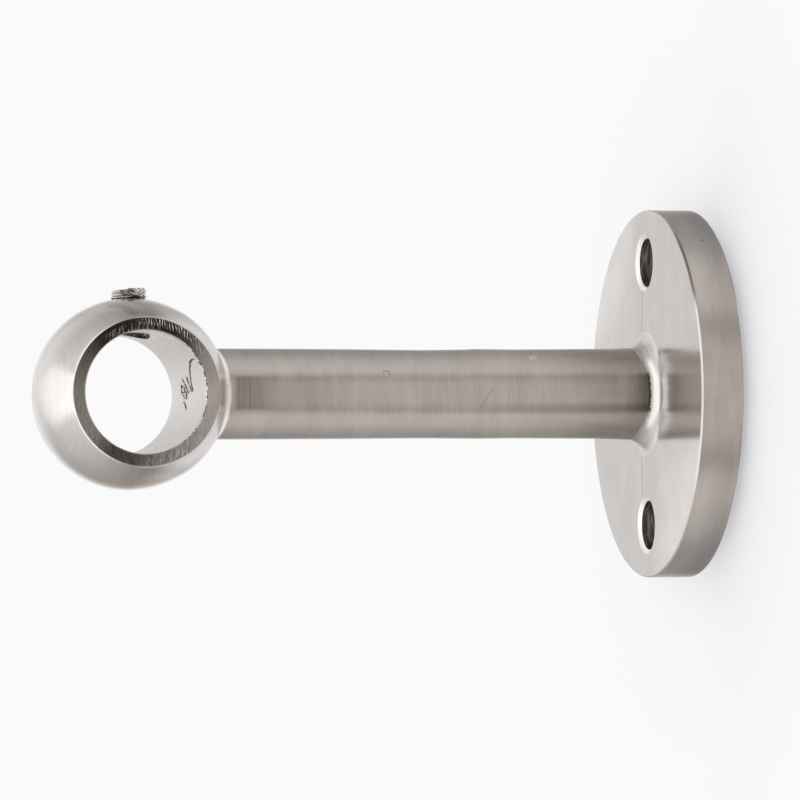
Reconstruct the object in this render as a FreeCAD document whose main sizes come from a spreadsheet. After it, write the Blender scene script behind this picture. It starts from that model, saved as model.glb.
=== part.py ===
import FreeCAD, Part

import math
import os

import Sketcher

# Curtain pole bracket: a one-piece casting of wall plate, stem and eye, and the grub screw
# that clamps the pole in the eye.
# Frame: the origin is the centre of the plate's wall face, and +X points into the wall.
# The stem runs along X to the eye at its -X end, the pole runs along Y, and Z is up.

Vector = FreeCAD.Vector

# Driving dimensions in millimetres and degrees: cell alias, value, what it measures
SIZES = (
    ("projection", 79.0, "wall face to pole axis"),
    ("pole_diameter", 16.0, "the pole that the eye is made for"),
    ("pole_clearance", 0.5, "bore diameter less pole diameter"),
    ("plate_diameter", 51.0, "round wall plate"),
    ("plate_thickness", 6.0, "wall face to front face"),
    ("plate_edge_round", 0.3, "rounding of the plate's front edge"),
    ("stem_diameter", 12.4, "round stem"),
    ("foot_fillet", 2.3, "fillet from stem to plate"),
    ("eye_diameter", 26.1, "the eye at its middle"),
    ("eye_face_diameter", 20.0, "outer diameter of the eye's two flat faces"),
    ("eye_length", 23.0, "flat face to flat face, along the pole"),
    ("eye_fillet", 0.8, "fillet from stem to eye"),
    ("screw_hole_spacing", 36.5, "between the two wall screw holes"),
    ("screw_hole_diameter", 6.8, "through the plate"),
    ("screw_hole_chamfer", 0.6, "45 degree chamfer at the front"),
    ("grub_diameter", 5.0, "the grub screw's thread, outside"),
    ("grub_length", 6.0, "end to end"),
    ("grub_rise", 1.3, "how far the grub screw stands out of the eye"),
    ("grub_clearance", 0.05, "radial, between the grub screw and its hole"),
    ("grub_chamfer", 0.35, "at both ends of the grub screw"),
    ("grub_mouth_chamfer", 0.4, "at the mouth of the grub screw's hole"),
    ("slot_width", 1.1, "the grub screw's slot"),
    ("slot_depth", 1.2, "the grub screw's slot"),
    ("slot_turn", 22.0, "the slot's angle from the pole axis"),
)

# Sizes that follow from the driving dimensions, as expressions over the sheet
PLATE_RADIUS = "Sizes.plate_diameter / 2"
STEM_RADIUS = "Sizes.stem_diameter / 2"
EYE_RADIUS = "Sizes.eye_diameter / 2"
EYE_FACE_RADIUS = "Sizes.eye_face_diameter / 2"
EYE_BULGE = "((Sizes.eye_diameter - Sizes.eye_face_diameter) / 2)"
EYE_HALF = "(Sizes.eye_length / 2)"
EYE_ARCH_RADIUS = f"({EYE_HALF} ^ 2 + {EYE_BULGE} ^ 2) / (2 * {EYE_BULGE})"
BORE_RADIUS = "(Sizes.pole_diameter + Sizes.pole_clearance) / 2"
SCREW_HOLE_RADIUS = "Sizes.screw_hole_diameter / 2"
SCREW_HOLE_OFFSET = "Sizes.screw_hole_spacing / 2"
GRUB_RADIUS = "Sizes.grub_diameter / 2"
GRUB_HOLE_RADIUS = "Sizes.grub_diameter / 2 + Sizes.grub_clearance"
GRUB_TIP_HEIGHT = "Sizes.eye_diameter / 2 + Sizes.grub_rise - Sizes.grub_length"
POLE_AXIS_X = "-Sizes.projection"

# An edge lies on a surface where its points are this close to it, in millimetres
ON_SURFACE = 0.01


def make_size_sheet(doc):
    """A spreadsheet with one named cell for each driving dimension."""
    sheet = doc.addObject("Spreadsheet::Sheet", "Sizes")
    for row, (alias, value, note) in enumerate(SIZES, start=1):
        sheet.set(f"A{row}", alias)
        sheet.set(f"B{row}", str(value))
        sheet.setAlias(f"B{row}", alias)
        sheet.set(f"C{row}", note)
    doc.recompute()


def make_body(doc, name):
    """A body whose label is the sub-part's name."""
    body = doc.addObject("PartDesign::Body", name)
    body.Label = name
    return body


def value_of(item, expression):
    """The present value of an expression over the sheet."""
    return float(item.evalExpression(expression))


def origin_plane(body, role):
    """One of the body's own base planes, such as XY_Plane."""
    return next(item for item in body.Origin.OriginFeatures if item.Role == role)


def add_sketch(body, name, role, offsets, spin=0.0):
    """A sketch on a base plane, shifted by expressions and spun about the plane's normal."""
    sketch = body.newObject("Sketcher::SketchObject", name)
    sketch.AttachmentSupport = (origin_plane(body, role), [""])
    sketch.MapMode = "FlatFace"
    sketch.AttachmentOffset = FreeCAD.Placement(Vector(), FreeCAD.Rotation(Vector(0, 0, 1), spin))
    for axis, expression in offsets.items():
        sketch.setExpression(f"AttachmentOffset.Base.{axis}", expression)
    return sketch


def bind(sketch, name, kind, places, expression):
    """A named dimension of the sketch, bound to an expression over the sheet."""
    constraint = Sketcher.Constraint(kind, *places, value_of(sketch, expression))
    sketch.addConstraint(constraint)
    sketch.renameConstraint(sketch.ConstraintCount - 1, name)
    sketch.setExpression(f"Constraints.{name}", expression)


def add_lines(sketch, points):
    """Straight lines from each point to the next."""
    for start, end in zip(points, points[1:]):
        sketch.addGeometry(Part.LineSegment(Vector(*start, 0), Vector(*end, 0)), False)


def close_loop(sketch):
    """Join the end of each curve of the sketch to the start of the next, all the way round."""
    count = sketch.GeometryCount
    for curve in range(count):
        joint = ("Coincident", curve, 2, (curve + 1) % count, 1)
        sketch.addConstraint(Sketcher.Constraint(*joint))


def square_up(sketch, level, upright):
    """Hold the numbered lines level or upright."""
    for line in level:
        sketch.addConstraint(Sketcher.Constraint("Horizontal", line))
    for line in upright:
        sketch.addConstraint(Sketcher.Constraint("Vertical", line))


def start_at_origin(sketch):
    """Hold the start of the first curve at the sketch's origin."""
    sketch.addConstraint(Sketcher.Constraint("Coincident", 0, 1, -1, 1))


def add_circle(sketch, expression):
    """A circle about the sketch's origin."""
    radius = value_of(sketch, expression)
    sketch.addGeometry(Part.Circle(Vector(0, 0, 0), Vector(0, 0, 1), radius), False)
    sketch.addConstraint(Sketcher.Constraint("Coincident", 0, 3, -1, 1))
    bind(sketch, "radius", "Radius", (0,), expression)


def turn(body, kind, name, sketch, axis):
    """Turn a sketch through a full circle, as a Revolution or a Groove."""
    feature = body.newObject(f"PartDesign::{kind}", name)
    feature.Profile = sketch
    feature.ReferenceAxis = (sketch, [axis])
    feature.Angle = 360.0
    return feature


def edge_names(feature, chosen):
    """Names of the feature's edges that the chosen test accepts."""
    edges = enumerate(feature.Shape.Edges, start=1)
    return [f"Edge{number}" for number, edge in edges if chosen(edge)]


def dress_edges(body, kind, name, base, chosen, size, expression):
    """A Fillet or a Chamfer on the base feature's edges that the chosen test accepts."""
    feature = body.newObject(f"PartDesign::{kind}", name)
    feature.Base = (base, edge_names(base, chosen))
    feature.setExpression(size, expression)
    body.Document.recompute()
    return feature


def edge_points(edge):
    """Five points spread along an edge."""
    first, last = edge.ParameterRange
    return [edge.valueAt(first + (last - first) * step / 4) for step in range(5)]


def is_ring_about_x(edge, radius):
    """True where the edge keeps one distance from the X axis."""
    return all(abs(math.hypot(p.y, p.z) - radius) < ON_SURFACE for p in edge_points(edge))


def is_at_x(edge, x):
    """True where the edge lies in the plane at x."""
    return all(abs(p.x - x) < ON_SURFACE for p in edge_points(edge))


def plate_and_stem(body):
    """Wall plate and stem, turned about the X axis; the stem runs on to the pole axis."""
    sketch = add_sketch(body, "turned_profile", "XZ_Plane", {})
    rim = value_of(sketch, PLATE_RADIUS)
    stem = value_of(sketch, STEM_RADIUS)
    front = -value_of(sketch, "Sizes.plate_thickness")
    end = value_of(sketch, POLE_AXIS_X)
    add_lines(sketch, [(0, 0), (0, rim), (front, rim), (front, stem), (end, stem), (end, 0), (0, 0)])
    close_loop(sketch)
    start_at_origin(sketch)
    square_up(sketch, level=(1, 3, 5), upright=(0, 2, 4))
    bind(sketch, "plate_radius", "DistanceY", (0, 1, 0, 2), PLATE_RADIUS)
    bind(sketch, "plate_thickness", "DistanceX", (1, 2, 1, 1), "Sizes.plate_thickness")
    bind(sketch, "stem_radius", "DistanceY", (4, 2, 4, 1), STEM_RADIUS)
    bind(sketch, "projection", "DistanceX", (5, 1, 5, 2), "Sizes.projection")
    return turn(body, "Revolution", "plate_and_stem", sketch, "H_Axis")


def eye_barrel(body):
    """The eye: a barrel with an arched side and two flat faces, turned about the pole axis."""
    sketch = add_sketch(body, "eye_profile", "XY_Plane", {"x": POLE_AXIS_X})
    half = value_of(sketch, EYE_HALF)
    face = value_of(sketch, EYE_FACE_RADIUS)
    arch = value_of(sketch, EYE_ARCH_RADIUS)
    centre = value_of(sketch, EYE_RADIUS) - arch
    swing = math.asin(half / arch)
    side = Part.Circle(Vector(centre, 0, 0), Vector(0, 0, 1), arch)
    sketch.addGeometry(Part.ArcOfCircle(side, -swing, swing), False)
    add_lines(sketch, [(face, half), (0, half), (0, -half), (face, -half)])
    close_loop(sketch)
    square_up(sketch, level=(1, 3), upright=())
    sketch.addConstraint(Sketcher.Constraint("PointOnObject", 1, 2, -2))
    sketch.addConstraint(Sketcher.Constraint("Symmetric", 1, 2, 2, 2, -1))
    sketch.addConstraint(Sketcher.Constraint("PointOnObject", 0, 3, -1))
    bind(sketch, "eye_length", "DistanceY", (2, 2, 2, 1), "Sizes.eye_length")
    bind(sketch, "face_radius", "DistanceX", (1, 2, 1, 1), EYE_FACE_RADIUS)
    bind(sketch, "arch_radius", "Radius", (0,), EYE_ARCH_RADIUS)
    return turn(body, "Revolution", "eye_barrel", sketch, "V_Axis")


def round_outside_edges(body, barrel):
    """Fillets where the stem meets plate and eye, and the plate's rounded front edge."""
    stem = value_of(body, STEM_RADIUS)
    rim = value_of(body, PLATE_RADIUS)
    front = -value_of(body, "Sizes.plate_thickness")
    eye_nose = value_of(body, f"{POLE_AXIS_X} + {EYE_RADIUS}")

    def at_foot(edge):
        return is_ring_about_x(edge, stem) and is_at_x(edge, front)

    def at_eye(edge):
        return is_ring_about_x(edge, stem) and edge.BoundBox.XMax < eye_nose

    def at_front_rim(edge):
        return is_ring_about_x(edge, rim) and is_at_x(edge, front)

    foot = dress_edges(body, "Fillet", "foot_fillet", barrel, at_foot,
                       "Radius", "Sizes.foot_fillet")
    neck = dress_edges(body, "Fillet", "eye_fillet", foot, at_eye,
                       "Radius", "Sizes.eye_fillet")
    return dress_edges(body, "Fillet", "plate_edge", neck, at_front_rim,
                       "Radius", "Sizes.plate_edge_round")


def pole_bore(body):
    """The bore for the pole, right through the eye."""
    sketch = add_sketch(body, "bore_circle", "XZ_Plane", {"x": POLE_AXIS_X})
    add_circle(sketch, BORE_RADIUS)
    bore = body.newObject("PartDesign::Pocket", "pole_bore")
    bore.Profile = sketch
    bore.SideType = "Symmetric"
    bore.Type = "Length"
    bore.setExpression("Length", "Sizes.eye_length + Sizes.pole_diameter")
    return bore


def chamfered_hole(body, name, offsets, spin, depth, radius, chamfer):
    """A round hole along the sketch's X axis, from its origin out to a chamfered mouth."""
    sketch = add_sketch(body, f"{name}_profile", "XZ_Plane", offsets, spin)
    far = value_of(sketch, depth)
    wall = value_of(sketch, radius)
    cut = value_of(sketch, chamfer)
    add_lines(sketch, [(0, 0), (0, wall), (far - cut, wall), (far, wall + cut), (far, 0), (0, 0)])
    close_loop(sketch)
    start_at_origin(sketch)
    square_up(sketch, level=(1, 4), upright=(0, 3))
    bind(sketch, "wall_radius", "DistanceY", (0, 1, 0, 2), radius)
    bind(sketch, "depth", "DistanceX", (4, 2, 4, 1), depth)
    bind(sketch, "chamfer_depth", "DistanceX", (2, 1, 2, 2), chamfer)
    bind(sketch, "chamfer_width", "DistanceY", (2, 1, 2, 2), chamfer)
    return turn(body, "Groove", name, sketch, "H_Axis")


def make_casting(doc):
    """Wall plate, stem and eye in one piece."""
    body = make_body(doc, "cast_bracket")
    plate_and_stem(body)
    barrel = eye_barrel(body)
    doc.recompute()
    round_outside_edges(body, barrel)
    pole_bore(body)
    chamfered_hole(body, "grub_screw_hole", {"x": POLE_AXIS_X}, 90.0,
                   EYE_RADIUS, GRUB_HOLE_RADIUS, "Sizes.grub_mouth_chamfer")
    upper = chamfered_hole(body, "upper_screw_hole", {"y": SCREW_HOLE_OFFSET}, 180.0,
                           "Sizes.plate_thickness", SCREW_HOLE_RADIUS, "Sizes.screw_hole_chamfer")
    pair = body.newObject("PartDesign::Mirrored", "lower_screw_hole")
    pair.Originals = [upper]
    pair.MirrorPlane = (origin_plane(body, "XY_Plane"), [""])
    body.Tip = pair
    doc.recompute()
    return body


def make_grub_screw(doc):
    """The slotted grub screw, standing in its hole in the top of the eye."""
    body = make_body(doc, "grub_screw")
    circle = add_sketch(body, "screw_circle", "XY_Plane", {"x": POLE_AXIS_X, "z": GRUB_TIP_HEIGHT})
    add_circle(circle, GRUB_RADIUS)
    shank = body.newObject("PartDesign::Pad", "shank")
    shank.Profile = circle
    shank.setExpression("Length", "Sizes.grub_length")
    doc.recompute()

    def is_end_circle(edge):
        return edge.isClosed() and edge.BoundBox.ZLength < ON_SURFACE

    dress_edges(body, "Chamfer", "end_chamfers", shank, is_end_circle,
                "Size", "Sizes.grub_chamfer")
    driver_slot(body)
    doc.recompute()
    return body


def driver_slot(body):
    """The screwdriver slot across the top of the grub screw."""
    top = "Sizes.eye_diameter / 2 + Sizes.grub_rise"
    sketch = add_sketch(body, "slot_outline", "XY_Plane", {"x": POLE_AXIS_X, "z": top})
    sketch.setExpression("AttachmentOffset.Rotation.Angle", "-Sizes.slot_turn")
    long = value_of(sketch, "Sizes.grub_diameter")
    wide = value_of(sketch, "Sizes.slot_width") / 2
    add_lines(sketch, [(wide, -long), (wide, long), (-wide, long), (-wide, -long), (wide, -long)])
    close_loop(sketch)
    square_up(sketch, level=(1, 3), upright=(0, 2))
    sketch.addConstraint(Sketcher.Constraint("Symmetric", 0, 1, 1, 2, -1, 1))
    bind(sketch, "slot_width", "DistanceX", (1, 2, 1, 1), "Sizes.slot_width")
    bind(sketch, "slot_run", "DistanceY", (0, 1, 0, 2), "Sizes.grub_diameter * 2")
    slot = body.newObject("PartDesign::Pocket", "driver_slot")
    slot.Profile = sketch
    slot.Type = "Length"
    slot.setExpression("Length", "Sizes.slot_depth")
    return slot


def check_document(doc, bodies):
    """Stop where any object failed, or a sub-part's shape is null or invalid."""
    for item in doc.Objects:
        if "Invalid" in item.State or "Error" in item.State:
            raise RuntimeError(f"{item.Label} failed: {item.State}")
    for body in bodies:
        if body.Shape.isNull() or not body.Shape.isValid():
            raise RuntimeError(f"{body.Label} has no valid shape")
        solids = len(body.Shape.Solids)
        print(f"{body.Label}: {solids} solid, {body.Shape.Volume:.1f} mm3")


def main():
    doc = FreeCAD.newDocument("curtain_pole_bracket")
    make_size_sheet(doc)
    bodies = [make_casting(doc), make_grub_screw(doc)]
    check_document(doc, bodies)
    os.makedirs("parts", exist_ok=True)
    for body in bodies:
        body.Shape.exportStep(f"parts/{body.Label}.step")


main()
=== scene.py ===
"""Curtain pole bracket in satin nickel: a casting of plate, stem and eye, and a grub screw."""
import math

import bmesh
import bpy
import numpy as np
from mathutils import Matrix, Vector, noise


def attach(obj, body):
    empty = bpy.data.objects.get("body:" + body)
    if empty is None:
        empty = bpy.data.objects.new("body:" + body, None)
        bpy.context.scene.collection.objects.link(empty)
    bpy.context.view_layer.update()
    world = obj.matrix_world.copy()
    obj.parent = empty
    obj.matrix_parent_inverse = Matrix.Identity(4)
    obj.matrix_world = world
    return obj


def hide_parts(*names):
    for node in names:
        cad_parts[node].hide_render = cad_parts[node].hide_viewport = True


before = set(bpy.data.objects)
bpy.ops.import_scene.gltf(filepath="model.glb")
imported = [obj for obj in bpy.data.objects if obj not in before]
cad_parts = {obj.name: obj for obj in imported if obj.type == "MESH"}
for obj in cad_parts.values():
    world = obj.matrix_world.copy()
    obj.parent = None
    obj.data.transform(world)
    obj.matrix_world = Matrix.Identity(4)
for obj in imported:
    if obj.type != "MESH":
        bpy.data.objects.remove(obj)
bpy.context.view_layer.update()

# All lengths below are in millimetres, in the frame of the model: the plate's wall face is at
# x = 0, the stem runs along -x, the pole runs along y and z is up.
MM = 0.001

# Driving sizes of the bracket
POLE_X = -79.0
BORE_RADIUS = 8.25
PLATE_RADIUS = 25.5
PLATE_THICKNESS = 6.0
PLATE_FRONT_EDGE = 0.3
PLATE_BACK_EDGE = 0.15
STEM_RADIUS = 6.2
FOOT_FILLET = 1.55
FOOT_FILLET_RISE = 0.85
FOOT_FLATNESS = 0.2
FLARE_START = -16.0
FLARE_RISE = 0.26
EYE_RADIUS = 13.05
EYE_FACE_RADIUS = 10.0
EYE_HALF = 11.5
EYE_FILLET = 0.8
EYE_EDGE = 0.1
BORE_EDGE = 0.12
SCREW_HOLE_RADIUS = 3.4
SCREW_HOLE_CHAMFER = 0.6
SCREW_HOLE_CHAMFER_DEPTH = 0.42
SCREW_HOLE_OFFSET = 18.25
GRUB_RADIUS = 2.5
GRUB_LENGTH = 6.0
GRUB_TOP = 14.35
GRUB_HOLE_RADIUS = 2.55
GRUB_MOUTH_RADIUS = 2.8
GRUB_MOUTH_DEPTH = 0.25
GRUB_BURR = 0.42
GRUB_BURR_FOOT = 0.3
GRUB_BURR_TURN = 0.4
GRUB_BURR_SPREAD = 0.2
GRUB_BURR_LEAST = 0.15
SLOT_WIDTH = 0.95
SLOT_DEPTH = 0.9
SLOT_TURN = math.radians(29.0)

# The barrel's side is an arc through its middle and the edge of its flat face
EYE_BULGE = EYE_RADIUS - EYE_FACE_RADIUS
EYE_ARCH = (EYE_HALF ** 2 + EYE_BULGE ** 2) / (2 * EYE_BULGE)

# Mesh density: columns and rows, half the size of each opening, and steps round edges. A
# collar is the rings of points between an opening in the grid and a round edge. Then the rounds
# and the step that find the neck's fillet, and the angles past which an edge is sharp.
EYE_COLUMNS = 208
EYE_ROWS = 56
FACE_ROWS = 6
STEM_ROWS = 124
PLATE_ROWS = 34
RIM_ROWS = 12
HUB_ROWS = 8
HUB_RADIUS = 0.3
HOLE_ROWS = 8
GRUB_HOLE_ROWS = 12
STEM_HALF_COLUMNS = 32
GRUB_HALF_COLUMNS = 18
GRUB_HALF_ROWS = 10
PLATE_HOLE_HALF_COLUMNS = 13
PLATE_HOLE_NEAR = 5.9
PLATE_HOLE_FAR = 5.6
NECK_STEPS = 6
FOOT_STEPS = 12
LIP_STEPS = 3
EDGE_STEPS = 5
EDGE_MARGIN = 0.1
GRUB_COLLAR = 7
NECK_COLLAR = 10
HOLE_COLLAR = 8
NECK_ROUNDS = 12
SLOPE_STEP = 0.001
SHARP_ANGLE = math.radians(32)
SHARP_SCREW_ANGLE = math.radians(35)

# How far hand polishing left the stem above or below its radius, as (x, on top, below), and
# how high and low on the stem its foot flares
STEM_WAVES = (
    (-72, -0.03, -0.02), (-66, 0.0, 0.0), (-58, -0.02, -0.02), (-49, -0.06, -0.04),
    (-43.3, -0.12, -0.08), (-38, -0.16, -0.09), (-32, -0.08, -0.04), (-30.6, 0.0, -0.01),
    (-25.5, -0.06, -0.06), (-18.4, -0.01, -0.02), (-11, 0.06, 0.06), (-9, 0.15, 0.15), (-6, 0.2, 0.2))
WAVE_FADE = 1.2
FLARE_HALF = 0.55
FLARE_FADE = 0.25

# The photograph's camera, from its fitted outlines: where the eye's middle shows in the
# 800 by 800 frame, the focal length in pixels, the size of a pixel there, and the angles the
# camera is turned by.
PHOTO_SIZE = 800
EYE_PIXEL = (129.5, 394.1)
FOCAL_PIXELS = 4948.0
MM_PER_PIXEL = 0.13525
YAW = math.radians(14.57)
PITCH = math.radians(1.38)
ROLL = math.radians(-0.40)
SENSOR_WIDTH = 36.0

# Grub screw: fine thread, and how the screwdriver chewed its right half
THREAD_PITCH = 0.5
THREAD_DEPTH = 0.26
THREAD_COLUMNS = 144
ROWS_PER_TURN = 12
THREAD_STEEPNESS = 2.6
THREAD_CREST = 0.15
GRUB_CHAMFER = 0.35
CHEW_DEPTH = 0.55
CHEW_HEIGHT = 1.5
CHEW_FADE = 0.4
CHEW_TURN = 0.5
CHEW_SPREAD = 0.25
CHEW_SINK = 0.45
DENTS_PER_MM = 1.9
DENT_SETTINGS = (0.8, 2.0, 3)
DENT_SQUASH = 0.55
DROOP = 0.42
TOP_RINGS = 6
TOP_RINGS_REACH = 0.9

# Finishes of the casting's faces, in the order of its material slots
BRUSHED, BURNISHED, LINED, SAWN, REAMED, BARE_AND_SHADE = range(6)

# Colours of clean satin nickel, of a browner nickel that is also the colour of painted shade on the stem
# and in the holes, of the grub screw, of what the camera sees behind the bracket, and of the light box at
# the eye's end
NICKEL = (0.658, 0.625, 0.606)
BROWN_AND_SHADE = (0.668, 0.62, 0.565)
BRIGHT_NICKEL = (0.82, 0.80, 0.79)
BACKGROUND = (0.955, 0.955, 0.965)
BOX_LIGHT = (1.55, 1.55, 1.55)

# How bright the sawn faces are by the angle round the pole, in degrees from the stem's side, and how
# strongly the saw's chatter shows there. The brightness was set after the photograph, so some of its light
# is painted in it. Then the saw, and the torn edge of the bore.
SAWN_LIGHT_AND_SHADE = (
    (0, 0.98), (30, 0.64), (48, 0.16), (75, 0.04), (130, 0.06), (165, 0.38), (180, 0.50),
    (215, 0.58), (238, 0.17), (262, 0.20), (285, 0.55), (320, 0.80), (360, 0.98))
SAWN_CHATTER = (
    (0, 0.0), (25, 0.1), (42, 0.5), (52, 1.0), (80, 1.0), (90, 0.6), (98, 0.1), (110, 0.0),
    (258, 0.0), (272, 0.3), (300, 0.3), (312, 0.0))
SAW_PITCH = 0.34
SAW_LEAN = 0.22
BURR = 0.3
BURR_MIDDLE = math.radians(14.0)
BURR_HALF = math.radians(32.0)
BURR_FADE = 0.15
BURR_WAVES = ((37, 0), (61, 1), (97, 2))
BURR_PROFILE = (0.7, 1.0, 0.8, 0.3)

# Marks of use and of the making, and a painted shade on the eye's top beside the grub screw, as strokes
# through points on a plane of two axes. Those in the bore are squashed along y, so that they come out
# longer that way. Each set is given as (plane, width, strength, wobble, softness, paths)
DARK_MARKS = ("xz", 0.1, 0.4, 0, 0.5, (
    ((-44.9, 2.95), (-44.2, 3.0)), ((-44.2, 3.0), (-44.1, 2.5)),
    ((-1.73, 18.8), (-1.65, 18.65)), ((-2.7, 20.45), (-2.0, 20.65))))
SCRATCH = ("xz", 0.22, 0.22, 0, 1.0, (((-31.33, -1.88), (-29.67, 0.7)),))
# Painted shade on the eye's top, beside the grub screw
EYE_TOP_SHADE = ("xy", 1.3, 0.34, 0.8, 1.0, (((-82.6, -6.2), (-81.2, -8.0), (-80.6, -10.2)),))
PALE_MARKS = ("xz", 0.14, 0.4, 0, 0.5, (
    ((-23.7, 4.75), (-22.9, 4.8)), ((-23.6, 5.05), (-23.0, 5.1))))
FACE_HAIRLINES = ("yz", 0.16, 0.45, 0, 0.5, (((1.3, 8.8), (1.0, 14.2)), ((1.9, -8.8), (1.7, -14.2))))
FACE_TICKS = ("yz", 0.13, 0.6, 0, 0.5, (
    ((-9.6, 5.9), (-9.2, 5.4)), ((-10.4, 5.95), (-10.0, 5.35)), ((-11.2, 5.9), (-10.8, 5.4)),
    ((-12.0, 5.9), (-11.7, 5.6)), ((-9.7, 6.3), (-9.9, 6.5))))
SCUFF_PATHS = (
    ((-9.1, 4.45), (-6.0, 4.15), (-3.6, 3.35), (-2.3, 2.45), (-1.8, 1.4), (-2.2, 0.35)),
    ((0.1, 2.2), (-0.4, 1.35), (-1.2, 0.35)), ((2.9, 2.05), (1.7, 1.1), (0.6, 0.2)),
    ((4.8, 1.3), (3.1, 1.0), (1.7, 0.0), (1.35, -0.55)), ((4.6, 1.15), (4.6, 0.35), (2.7, -0.5)),
    ((4.9, 0.2), (1.8, 0.3)), ((3.1, -1.05), (0.9, -2.05)))
BORE_SQUASH = 0.25
SQUASHED_PATHS = [[(BORE_SQUASH * along, up) for along, up in path] for path in SCUFF_PATHS]
BORE_SCUFFS = ("yz", 0.17, 1.0, 0.3, 0.9, SQUASHED_PATHS)
BORE_GREY = ("yz", 0.55, 0.3, 0, 1.0, SQUASHED_PATHS[1:-1])
SCUFF_SHADE = 0.94

# Where the finishes change and where painted light and shade lie on them, as the start and end of a smooth
# step or slope from 0 to 1, or of one between the two values that follow. A single number is a place or a
# width. A name that ends in X, Y or Z is measured along that axis, with x from the pole's middle on the
# sawn faces and the grub screw. REACH is the distance from the middle of the eye or of a screw, and the
# painted light that slopes across the plate's faces goes by y times z. In three bands, which are
# NECK_BAND_X, FACE_RIM_BAND and RIM_SHADOW_BAND, the numbers are where it starts, is full, fades and ends.
FRONT_Y = (0.0, -1.0)
MIDDLE_Z = (2.6, 1.9)
NECK_X = (-57, -64)
NECK_START_X = (-48, -55, 0, 0.12)
NECK_END_X = (-66.1, -65.2)
NECK_BAND_X = (-69.6, -68.6, -67.2, -66.8)
NECK_BAND_Z = (2.9, 2.0, 0, 0.6)
NECK_REACH = (10.3, 10.6)
NECK_FILLET_X = (-60, -64)
FOOT_X = (-23, -8.3)
FOOT_Z = (2.8, 2.2, 0.34, 0.46)
FOOT_END_X = (-7.2, -7.6)
FOOT_DULL_X = (-6.35, -6.1, 0, 0.2)
GROOVE_X = -7.25
GROOVE_Z = (3.0, 2.2)
GROOVE_RISE = (-4.2, -0.6)
GROOVE_END = (0.06, -0.04)
STRIPE_X = (-35, -9, 0, 0.26)
STRIPE_Z = -2.15
STRIPE_HALF = (0.95, 0.35)
BROWNER_X = (-38, -20, 0, 0.8)
BROWNER_END_X = (-6.0, -7.0)
EYE_TOP_SHADE_Z = (8, 9)
CROWN_X = (-62, -66)
CROWN_Z = (10.4, 11.6)
TOP_Z = (-1, 1, 0, 0.3)
RIGHT_X = (-80.5, -77.5, 0, 0.5)
GLOSSY_EYE_X = (-67.5, -66, 0.62, 1)
LIP_X = (-74.5, -73.5)
LIP_Y = (-11.0, -11.2)
LIP_REACH = (8.7, 8.5)
FACE_RIM_BAND = (9.7, 9.8, 10.15, 10.3)
STEM_SIDE_X = (-75, -71, 0, 0.4)
CHATTER_REACH = (9.35, 9.75)
HAIR_X = (3, 1)
HAIR_Z = (6.5, 7.5, 0, 0.4)
HAIR_REACH = (9.5, 9.2)
COARSE_Z = (4, 8)
SCUFF_FADE = 4.0
RIM_X = (-7, -6)
RIM_END_Z = (14, 23, 0, 0.16)
RIM_WALL_X = (-5, -1)
RIM_WALL_Z = (3, 18, 0.03, 0.27)
RIM_EDGE_X = (-6.2, -5.9, 0, 0.7)
RIM_SHADOW_BAND = (10.5, 14, 19, 24.5)
FACE_FRONT_X = (-3, -4)
FACE_LIGHT_SLOPE = (10, 270, 0.94, 1.23)
HIGHLIGHT_BY_STEM_Y = (-6, -8)
HIGHLIGHT_BY_STEM_Z = (5.9, 4.9)
HIGHLIGHT_BY_STEM_EDGE_Z = (3, 5, 0.26, 0.6)
CHAMFER_X = (-5.1, -5.3, 0, 0.45)
CHAMFER_REACH = (4.3, 4.1)
CREST_REACH = (2.32, 2.46, 0.4, 1)
CHEWED_X = (-0.2, 0.6)
CHEWED_Z = (GRUB_TOP - 1.4, GRUB_TOP - 1.0)
SLOT_BLUR = 0.06
SHADOW_TURN_X = 1.8
GRUB_SHADOW_TOP_Z = (12.8, 12.55)
GRUB_SHADOW_FOOT_Z = (11.8, 12.3)

# How much light those places take or give, how dull they are, and what shapes them. They were set after
# the photograph. Some are painted light and shade that stand for what the metal reflected there, and so
# keep to the bracket in any light.
TURNING_GRAIN = 0.3
NECK_SHADES = (0.48, 0.33)
NECK_HIGHLIGHT = 0.5
NECK_DULLNESS = 0.16
GROOVE_SHAKE = 0.6
GROOVE_POWER = 1.6
GROOVE_SHADE = 0.58
GROOVE_EDGE_SHADE = 0.8
BROWNER_SHADE = 0.045
SLOT_AND_HOLE_SHADE = 0.95
DIRT_AND_SHADE_DULLNESS = 0.5
BARE_ROUGHNESS = 0.4
NOISE_RANGE = (0.3, 0.7)
FAR_AWAY = 100.0

# The studio's light by its angle about the x axis, in degrees from the camera's side, as
# (angle, radiance, warmth)
WARM = (1.075, 1.0, 0.92)
SHADE_WARM = (1.085, 1.0, 0.95)
WHITE = (1.0, 1.0, 1.0)
RING_LIGHT = (
    (0, 0.53, WARM), (30, 0.52, WARM), (40, 0.36, WARM), (48, 0.40, WARM), (57, 0.68, WARM),
    (70, 0.72, WARM), (86, 0.60, WARM), (100, 0.44, WARM), (120, 0.26, WARM), (140, 0.24, WARM),
    (150, 0.33, WARM), (160, 0.52, WARM), (168, 0.88, WHITE), (180, 1.00, WHITE))

# The light on the camera's side by x, where it is brighter to the left
FRONT_LIGHT = (
    (-1.0, 1.0, WHITE), (-0.5, 1.0, WHITE), (-0.32, 0.62, WARM), (-0.18, 0.40, WARM),
    (-0.03, 0.16, WARM), (0.1, 0.16, WARM), (0.2, 0.32, WARM))
FRONT_STRENGTH = 1.5

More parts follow.
